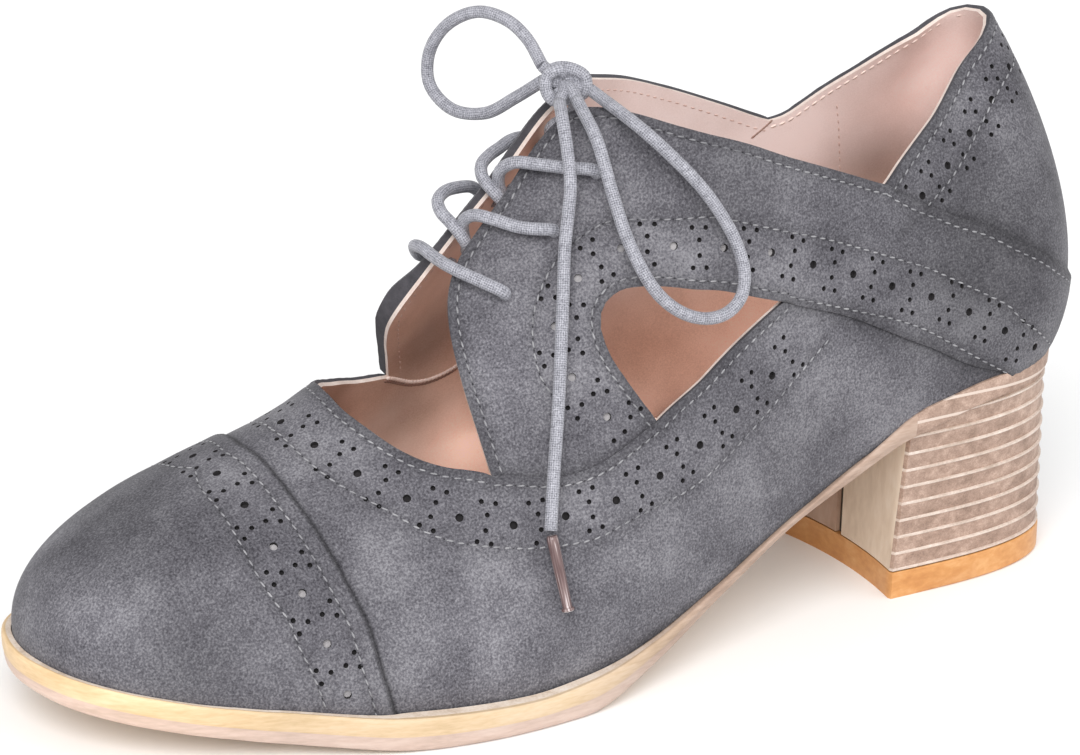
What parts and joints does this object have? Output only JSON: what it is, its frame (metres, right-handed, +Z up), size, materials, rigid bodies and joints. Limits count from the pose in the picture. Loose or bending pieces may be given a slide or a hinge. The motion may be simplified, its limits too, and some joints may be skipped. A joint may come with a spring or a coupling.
{
  "type": "lace-up pump",
  "caption": "Left lace-up pump with a perforated suede upper, open throat, side cut-outs, toe cap, round lace tied in a bow and a stacked block heel.",
  "frame": {"origin": "on the ground under the middle of the shoe's box, measured without the loose lace", "axes": "+X to the toe, +Y to the wearer's left which is the outer side of this left shoe, +Z up"},
  "size_m": [0.2346, 0.0922, 0.1246],
  "materials": {
    "upper": "matt brushed suede, slate grey",
    "insole": "smooth pinkish beige lining",
    "outsole": "satin, tan edge over a paler beige edge",
    "heel_stack": "satin stacked layers with pale lines",
    "top_lift": "satin orange tan",
    "lace": "waxed round braid, grey",
    "aglet": "dark translucent tip"
  },
  "bodies": {
    "root": {"upper": "upper", "insole": "insole", "outsole": "outsole", "heel_stack": "heel_stack", "top_lift": "top_lift", "lace_bar": "lace", "lace_cross_1": "lace", "lace_cross_2": "lace", "lace_knot": "lace", "lace_loop_far": "lace", "lace_loop_near": "lace", "lace_end_near": "lace", "lace_end_far": "lace", "aglet_near": "aglet", "aglet_far": "aglet"}
  },
  "joints": []
}
